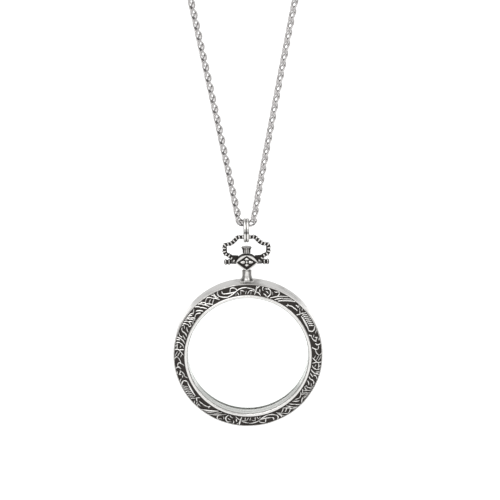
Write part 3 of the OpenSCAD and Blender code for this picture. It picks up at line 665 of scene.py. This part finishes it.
# The webs: flat plates that join the bow's ends and the tabs to the eye plate. Their outline is in
# shares of the bow's half width and of its height.
web_t = 1.15
web_outline = [(0.38, 0.24), (0.63, 0.25), (0.74, 0.3), (0.73, 0.05), (0.8, 0.045), (0.8, -0.065),
               (0.7, -0.07), (0.38, -0.07)]
web_middle = (0.6, 0.08)
web_levels = [
    # share of the outline, height to the front, rise
    (1, -web_t / 2 + 0.1, 0.1), (1, web_t / 2 - 0.12, 0.12), (0.93, web_t / 2, 0.08)]
for side, name in [(-1, "left"), (1, "right")]:
    for kind, places_aside, *sizes in tab_rows:
        tab_route = [from_case(side * x, 0, plate_z + tab_z) for x in places_aside]
        hanger_pieces.append(beaded_piece(f"hanger_{kind}_{name}", tab_route, *sizes, tab_worn_from))
    corners, rises = [], []
    for share, height, rise in web_levels:
        for x, z in web_outline:
            x, z = [m + (v - m) * share for v, m in zip((x, z), web_middle)]
            corners.append(from_case(side * x * bow_w / 2, height, plate_z + z * bow_h))
            rises.append(rise)
    count = len(web_outline)
    faces = []
    for n in range(len(web_levels) - 1):
        for k in range(count):
            j = (k + 1) % count
            faces.append((n * count + k, n * count + j, (n + 1) * count + j, (n + 1) * count + k))
    faces += [tuple(reversed(range(count))), tuple(range(len(corners) - count, len(corners)))]
    if side > 0:
        faces = [tuple(reversed(f)) for f in faces]
    hanger_pieces.append(new_piece(f"hanger_web_{name}", corners, faces, hanger_metal, rises))
for piece in hanger_pieces:
    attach(piece, "pendant")
    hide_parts("hanger")

# Crown: a fluted knob turned from bar, seated on the neck of the eye plate. Its solid is shown, with
# the flutes left dark, its sides painted in shade and a painted highlight round its top.
crown_low, crown_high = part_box("crown")
crown_middle = (crown_low + crown_high) / 2
crown_flutes = 12
land_swing, land_mean = 0.32, 0.58
# How far aside the knob's bright face ends, the sides beyond it painted in shade, and how far down
# from its top the painted highlight fades
face_half, side_half = 0.52 * mm, 0.8 * mm
top_start, top_full, top_rise = 0.3 * mm, 0.02 * mm, 0.62


def flute_rise(tree):
    spot = node(tree, "ShaderNodeVectorMath", {0: node(tree, "ShaderNodeTexCoord").outputs["Object"],
                                               1: (crown_middle.x, crown_middle.y, 0)},
                operation="SUBTRACT")
    spot = node(tree, "ShaderNodeSeparateXYZ", {0: spot.outputs[0]}).outputs
    turn = reckon(tree, "MULTIPLY", reckon(tree, "ARCTAN2", spot["Y"], spot["X"]), crown_flutes)
    land = reckon(tree, "MULTIPLY_ADD", reckon(tree, "COSINE", turn), land_swing, land_mean)
    aside = ranged(tree, reckon(tree, "ABSOLUTE", spot["X"]), face_half, side_half, 1.0, 0.0)
    land = reckon(tree, "MULTIPLY", land, aside)
    top = ranged(tree, spot["Z"], crown_high.z - top_start, crown_high.z - top_full, 0.0, top_rise)
    return reckon(tree, "MAXIMUM", land, top)


crown_metal = metal("crown_silver", bright=(0.5, 0.49, 0.475), dark=(0.04, 0.036, 0.034), smooth=0.14,
                    dull=0.3, smudge_scale=500, dark_below=0.1, bright_above=0.9, mottle=0.15,
                    rise=flute_rise)
finish_solid("crown", crown_metal)

# Case ring: the deep round case, turned from tube and polished all over. Its solid is shown. The
# narrow rim round the scrollwork is painted darker and duller, painted shade that tones down its
# highlight, and the wall round the foot of the stem is painted darker, a painted shadow of the foot.
rim_start, rim_end, rim_rise = 0.3 * mm, 0.8 * mm, 0.5
stem_near, stem_far, stem_rise = 2.4 * mm, 6 * mm, 0.6


def case_rise(tree):
    rim = ranged(tree, own_place(tree)["Y"], case_low.y + rim_start, case_low.y + rim_end, rim_rise, 1.0)
    foot = node(tree, "ShaderNodeVectorMath", {0: node(tree, "ShaderNodeTexCoord").outputs["Object"],
                                               1: (case_middle.x, case_middle.y, case_high.z)},
                operation="DISTANCE")
    foot = ranged(tree, foot.outputs["Value"], stem_near, stem_far, stem_rise, 1.0)
    return reckon(tree, "MULTIPLY", cloudy_rise(tree), reckon(tree, "MULTIPLY", rim, foot))


case_metal = metal("case_silver", bright=(0.77, 0.76, 0.74), dark=(0.3, 0.29, 0.28), smooth=0.1,
                   dull=0.24, smudge_scale=220, dark_below=0.08, bright_above=0.52, rise=case_rise)
finish_solid("case_ring", case_metal)

# Scroll bezel: a cast ring that presses into the front of the case and holds the glass. Its lip is
# polished, and the scrollwork stands bright on a darkened ground.
bezel_metal = metal("scroll_silver", bright=(0.78, 0.77, 0.75), dark=(0.046, 0.041, 0.038), smooth=0.14,
                    dull=0.3, smudge_scale=500, dark_below=0.15, bright_above=0.8, mottle=0.25)
front = (case_middle.y - case_low.y) / mm
view_r = 18.2
lip_w = 1.05
lip_height, edge_height, relief_h = 0.85, 0.1, 0.32
case_rim, rim_gap = 0.3, 0.03
band_in = view_r + lip_w
band_out = case_top - case_rim - rim_gap
band_w = band_out - band_in
crest_in, crest_out = front + lip_height, front + edge_height
sleeve_end, seat_end, shoulder_depth = -0.39, -0.6, 0.97
seat_r = 19.37
ring_parts, ground_parts, lip_parts = 240, 6, 10
lip_sweep, inner_lip_parts = 120, 5
# The inner part of the lip is painted darker than its outer part: painted shade that tones down its
# highlight
inner_lip_rise, outer_lip_rise, ground_edge_rise = 0.45, 0.72, 0.1


def ground_height(radius):
    share = min(max((radius - band_in) / band_w, 0), 1)
    return crest_in - relief_h + (crest_out - crest_in) * share


sleeve_h = crest_in - lip_w / 2 - sleeve_end
# Share of the sleeve's depth and rise of the light and dark rings painted inside it: painted shade and
# painted reflections
sleeve_lines = [(0, 0.35), (0.1, 0.35), (0.17, 0.8), (0.5, 0.85), (0.55, 0.55), (0.63, 0.55),
                (0.68, 0.85), (0.95, 0.8)]
# The outline in rows of radius, height and rise: the sleeve, the lip, the ground and the seat
bezel_outline = [(view_r, sleeve_end + share * sleeve_h, rise) for share, rise in sleeve_lines]
for k in range(lip_parts + 1):
    a = math.radians(lip_sweep * k / lip_parts)
    bezel_outline.append((view_r + lip_w / 2 * (1 - math.cos(a)), crest_in - lip_w / 2 * (1 - math.sin(a)),
                          inner_lip_rise if k < inner_lip_parts else outer_lip_rise))
for k in range(ground_parts + 1):
    radius = band_in + band_w * k / ground_parts
    bezel_outline.append((radius, ground_height(radius), 0 if 0 < k < ground_parts else ground_edge_rise))
bezel_outline += [(band_out, front - shoulder_depth, 0.5), (seat_r, front - shoulder_depth, 0.5),
                  (seat_r, seat_end, 0.5)]
corners, faces, rises = turned_on(bezel_outline[::-1], ring_parts, "Y")

# Scrollwork over half a turn, charted clockwise from the top. Each line is: start angle, start share
# of the band's width, end angle, end share, bow near the start and the end, width in line widths
arch = [(0, 0.72, 6.6, 0.5, 0.02, 0.08, 1.2), (1.8, 0.42, 6.2, 0.4, 0.12, 0.1, 1),
        (0.3, 0.08, 1.9, 0.4, 0, 0.1, 0.9), (3.2, 0.05, 3.3, 0.4, 0, 0, 0.9),
        (170.8, 0.46, 180, 0.76, 0.12, 0.08, 1.3), (174.4, 0.06, 174.7, 0.42, 0, 0, 1),
        (174.5, 0.46, 177.6, 0.36, 0.14, 0.2, 1), (178.4, 0.08, 179.3, 0.42, 0, 0, 0.9)]
cross = [(7.7, 0.98, 7.4, 0.45, 0, 0, 1.6), (7.4, 0.52, 6.4, 0.03, 0, 0, 1.2),
         (7.2, 0.36, 11.8, 0.08, 0.14, 0.12, 1.2), (10.2, 0.66, 10.9, 0.36, 0, 0, 1.4),
         (8.2, 0.74, 9.8, 0.98, 0, 0, 0.9)]
curls = [(12.9, 0.98, 13.2, 0.6, -0.3, -0.3, 1), (14.1, 0.84, 17.2, 0.84, -0.2, 0.2, 1),
         (15.4, 0.6, 18, 0.46, 0.2, 0, 1), (16.6, 0.96, 18, 0.06, 0.42, 0.46, 1.4),
         (13.9, 0.32, 17.2, 0.08, 0.12, 0.12, 1.1), (20.7, 0.74, 21.8, 0.44, 0, 0, 0.8),
         (22.2, 0.84, 24.8, 0.94, -0.4, -0.2, 1), (25, 0.98, 25.8, 0.54, 0.4, 0.4, 1.2)]
strands = [(20.6, 0.08, 34, 0.98, 0.02, 0.02, 1.2), (24.8, 0.08, 30.4, 0.56, 0, 0, 1.1),
           (30.2, 0.5, 37.4, 0.97, 0, 0, 1), (28, 0.08, 40.6, 0.97, 0.02, 0.02, 1.6)]
leaf = [(36.2, 0.12, 38.4, 0.3, -0.3, 0.3, 1.3), (36.6, 0.36, 37.6, 0.12, 0, 0, 1.2),
        (38, 0.26, 42.4, 0.42, 0.06, 0.06, 1.3), (41.8, 0.4, 46.8, 0.42, -0.06, 0.1, 1.3),
        (42.4, 0.72, 45.2, 0.72, 0.25, 0.1, 1), (44.2, 0.98, 45.6, 0.68, 0.2, 0, 1),
        (46.2, 0.9, 47.6, 0.62, 0, 0, 0.9), (48, 0.6, 50.7, 0.32, 0.1, 0.1, 1.4),
        (50.6, 0.38, 48.8, 0.08, 0, 0, 1.2), (48, 0.97, 49.6, 0.78, 0, 0, 1)]
ribs = [(50.8 + 1.78 * k, 0.46, 52.6 + 1.78 * k, 0.95, 0.16, -0.1, 1) for k in range(8)]
bar_line = [(52.6, 0.34, 66.4, 0.24, 0.02, 0.02, 1.8)]
scrolls = [(65.6, 0.98, 69, 0.5, 0.14, 0.24, 1.5), (69, 0.56, 66.6, 0.22, 0.1, 0.16, 1.4),
           (69, 0.97, 71.4, 0.72, 0.1, 0, 1), (70.4, 0.05, 72.6, 0.32, 0, 0, 1.2),
           (71.8, 0.56, 74, 0.4, 0.1, 0, 1.1), (72.8, 0.26, 78.3, 0.6, -0.16, -0.16, 1.2),
           (78.3, 0.58, 74.8, 0.84, 0.24, 0.1, 1.2), (75.2, 0.8, 74.4, 0.56, 0, 0, 1),
           (75.8, 0.98, 78, 0.9, 0, 0, 1), (80.4, 0.98, 79.4, 0.46, 0.5, 0.4, 1.4),
           (82.4, 0.74, 85.2, 0.5, 0.22, 0.3, 1.2), (85, 0.52, 82.2, 0.06, 0.12, 0.12, 1.2),
           (84.8, 0.36, 90.2, 0.7, -0.12, -0.14, 1.2), (88.2, 0.98, 90.2, 0.72, 0.2, 0.2, 1.1)]
waves = [(90.8, 0.92, 94.8, 0.66, 0.05, 0.05, 1), (90.6, 0.66, 94.2, 0.44, 0.05, 0.05, 1),
         (90.2, 0.36, 93.2, 0.16, 0.05, 0.05, 1), (92, 0.06, 96.4, 0.64, -0.08, -0.08, 1.3),
         (95.8, 0.98, 96.4, 0.56, 0.1, 0.1, 1.3), (96.2, 0.54, 97.2, 0.06, 0, 0, 1.2),
         (96.8, 0.72, 101.4, 0.76, 0.06, 0.1, 1.1), (98.4, 0.98, 100.2, 0.84, 0, 0, 1),
         (98.2, 0.44, 99.9, 0.36, 0.3, 0.3, 1), (99.2, 0.1, 102.6, 0.62, -0.24, -0.1, 1.3),
         (102.6, 0.58, 101.2, 0.96, -0.1, -0.2, 1.2), (104.2, 0.98, 104.8, 0.6, 0, 0, 1),
         (103, 0.08, 106.4, 0.66, -0.16, -0.06, 1.4), (106.2, 0.6, 106.4, 0.98, 0.1, 0.1, 1.3),
         (106.4, 0.1, 109.4, 0.46, -0.12, 0, 1.3), (107.8, 0.48, 108.6, 0.84, 0.2, 0.1, 1.2),
         (108.4, 0.78, 110.4, 0.97, 0.1, 0, 1), (109.8, 0.06, 112.2, 0.42, -0.1, -0.1, 1.4),
         (112, 0.36, 112.8, 0.72, 0.1, 0.1, 1.4), (112.6, 0.68, 115.2, 0.84, 0.14, 0.14, 1.3),
         (113.8, 0.08, 117.2, 0.42, 0.06, 0.12, 1.3), (115.2, 0.58, 117.6, 0.72, 0, 0, 0.9),
         (116, 0.95, 117.8, 0.8, 0, 0, 0.9)]
plaits = [(118, 0.96, 119.3, 0.58, 0.1, 0.2, 1.1), (119.3, 0.6, 118.4, 0.22, 0.3, 0.2, 1),
          (118.4, 0.26, 120.6, 0.12, -0.1, -0.1, 1), (120, 0.1, 122.2, 0.34, 0, 0, 0.9),
          (120, 0.94, 121.9, 0.6, 0.1, 0.2, 1), (121.9, 0.62, 121, 0.3, 0.3, 0.2, 1),
          (122.2, 0.95, 124.6, 0.56, 0.1, 0.2, 1), (121.8, 0.56, 123.8, 0.24, 0.1, 0.1, 1.1),
          (122.4, 0.08, 125.8, 0.24, -0.1, 0.1, 1), (124, 0.94, 126, 0.62, 0.1, 0.1, 1),
          (123.8, 0.66, 126, 0.26, 0.1, 0.1, 1.1), (125.6, 0.94, 128, 0.6, 0.1, 0.1, 1),
          (125.8, 0.56, 127.8, 0.2, 0.1, 0.1, 1.1), (126, 0.08, 128, 0.28, 0, 0, 0.9),
          (127.4, 0.9, 130, 0.7, -0.1, 0.1, 1.1), (127.6, 0.24, 131.4, 0.4, 0.1, 0.06, 1.1),
          (129.2, 0.64, 133.2, 0.94, -0.12, -0.06, 1.3), (131, 0.4, 134.8, 0.14, 0.1, 0, 1.2),
          (133, 0.6, 137.4, 0.1, 0.12, 0.06, 1.4), (134.8, 0.96, 138, 0.5, 0.12, 0.16, 1.3),
          (137.6, 0.56, 141.4, 0.06, 0.1, 0, 1.3), (138, 0.97, 141, 0.6, 0.1, 0.16, 1.3),
          (140.6, 0.62, 144.4, 0.06, 0.12, 0, 1.3), (140.6, 0.97, 142, 0.74, 0, 0, 1.1),
          (142, 0.78, 143.4, 0.48, 0.2, 0.2, 1.3), (142.6, 0.52, 148, 0.06, 0.08, 0, 1.3),
          (143.6, 0.62, 147.2, 0.92, 0.14, 0.1, 1.2), (146.6, 0.94, 150.4, 0.62, 0.1, 0.1, 1.2),
          (145, 0.34, 148.6, 0.58, -0.06, 0.1, 1.2), (147.4, 0.08, 151.2, 0.44, 0, 0.1, 1.2),
          (150, 0.64, 155.4, 0.14, 0.06, 0.06, 1.1), (150.6, 0.97, 153.2, 0.46, 0.1, 0.16, 1.1)]
ogee = [(153, 0.97, 155, 0.36, -0.16, -0.2, 1.2), (156.9, 0.98, 156.2, 0.44, -0.3, -0.3, 1.4),
        (156, 0.5, 163, 0.1, -0.14, -0.1, 1.4), (162.4, 0.1, 171.4, 0.52, -0.1, -0.1, 1.4),
        (159.8, 0.88, 160.6, 0.5, -0.3, -0.3, 1.3), (160.2, 0.54, 170.4, 0.42, -0.08, -0.06, 1.4),
        (167, 0.88, 165.8, 0.46, -0.1, -0.1, 1.2), (166.6, 0.86, 171.6, 0.6, 0.2, 0.24, 1.3),
        (172.8, 0.05, 171.6, 0.34, 0, 0, 1), (170, 0.06, 170.6, 0.28, 0, 0, 0.9)]
scrollwork = arch + cross + curls + strands + leaf + bar_line + ribs + scrolls + waves + plaits + ogee
band_middle = (band_in + band_out) / 2
line_w = 0.34
stroke_parts, stroke_sides = 12, 6
stroke_sink, stroke_fullness = 0.04, 0.75
# A ridge thins towards its ends, and each end has one small ring more, a little further on
thin_share, tip_reach, tip_share = 0.6, 0.5, 0.45
inner_spill = 0.05
least_way = 1e-6


def stroke_mesh(line, half_turn):
    """One raised line of the scrollwork: a rounded ridge along a curve on the band."""
    start_angle, start_share, end_angle, end_share, start_bow, end_bow, width = line
    start = Vector((math.radians(start_angle) * band_middle, start_share * band_w))
    end = Vector((math.radians(end_angle) * band_middle, end_share * band_w))
    chord = end - start
    aside = Vector((-chord.y, chord.x))
    pull = [start, start + chord / 3 + aside * start_bow, start + chord * 2 / 3 + aside * end_bow, end]
    corners, faces, rises = [], [], []
    for k in range(-1, stroke_parts + 2):
        t = min(max(k / stroke_parts, 0), 1)
        spot = ((1 - t) ** 3 * pull[0] + 3 * t * (1 - t) ** 2 * pull[1] + 3 * t * t * (1 - t) * pull[2]
                + t**3 * pull[3])
        way = ((1 - t) ** 2 * (pull[1] - pull[0]) + 2 * t * (1 - t) * (pull[2] - pull[1])
               + t * t * (pull[3] - pull[2]))
        way = (way if way.length > least_way else chord).normalized()
        half = line_w * width / 2 * (thin_share + (1 - thin_share) * math.sin(math.pi * t))
        full = 1.0
        if k < 0 or k > stroke_parts:
            spot = spot + way * half * (tip_reach if k > 0 else -tip_reach)
            half, full = half * tip_share, tip_share
        for n in range(stroke_sides + 1):
            a = math.pi * n / stroke_sides
            here = spot + Vector((-way.y, way.x)) * half * math.cos(a)
            radius = min(max(band_in + here.y, band_in - inner_spill), band_out)
            lift = full * math.sin(a) ** stroke_fullness
            around = here.x / band_middle + half_turn
            height = ground_height(radius) - stroke_sink + (relief_h + stroke_sink) * lift
            corners.append(from_case(radius * math.sin(around), height, radius * math.cos(around)))
            rises.append(lift)
    across_count = stroke_sides + 1
    for k in range(stroke_parts + 2):
        first, after = k * across_count, (k + 1) * across_count
        for n in range(stroke_sides):
            faces.append((first + n, first + n + 1, after + n + 1, after + n))
        faces.append((first, after, after + stroke_sides, first + stroke_sides))
    faces.append(tuple(reversed(range(across_count))))
    faces.append(tuple(range(len(corners) - across_count, len(corners))))
    return corners, faces, rises


for half_turn in (0, math.pi):
    for line in scrollwork:
        more_corners, more_faces, more_rises = stroke_mesh(line, half_turn)
        count = len(corners)
        corners += more_corners
        faces += [tuple(count + c for c in face) for face in more_faces]
        rises += more_rises
bezel = new_piece("scroll_bezel_casting", corners, faces, bezel_metal, rises, crease=40)
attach(bezel, "pendant")
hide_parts("scroll_bezel")

# Lens: a clear magnifying glass with two ground swelled faces and a faint green tint. It lies in the
# case behind the bezel's sleeve.
lens_r = 19.35
lens_back, lens_edge = -2.35, 1.7
back_swell, front_swell = 0.8, 1.8
lens_rows, lens_parts = 24, 144
glass, glass_tree, glass_shader = new_material("clear_glass")
glass_shader.inputs["Base Color"].default_value = (0.97, 1.0, 0.985, 1)
glass_shader.inputs["Transmission Weight"].default_value = 1.0
glass_shader.inputs["IOR"].default_value = 1.5
place = node(glass_tree, "ShaderNodeTexCoord").outputs["Object"]
dust = node(glass_tree, "ShaderNodeTexNoise", {"Vector": place, "Scale": 120.0, "Detail": 3.0})
dusty = ranged(glass_tree, dust.outputs["Fac"], 0.5, 0.9, 0.0, 0.02)
glass_tree.links.new(dusty, glass_shader.inputs["Roughness"])
outward = [k / lens_rows for k in range(lens_rows + 1)]
lens_outline = [(lens_r * s, lens_back - back_swell * (1 - s * s), 0) for s in outward]
lens_outline += [(lens_r * s, lens_back + lens_edge + front_swell * (1 - s * s), 0)
                 for s in reversed(outward)]
corners, faces, _ = turned_on(lens_outline, lens_parts, "Y")
lens = new_piece("lens_glass", corners, faces, glass)
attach(lens, "pendant")
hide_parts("lens")
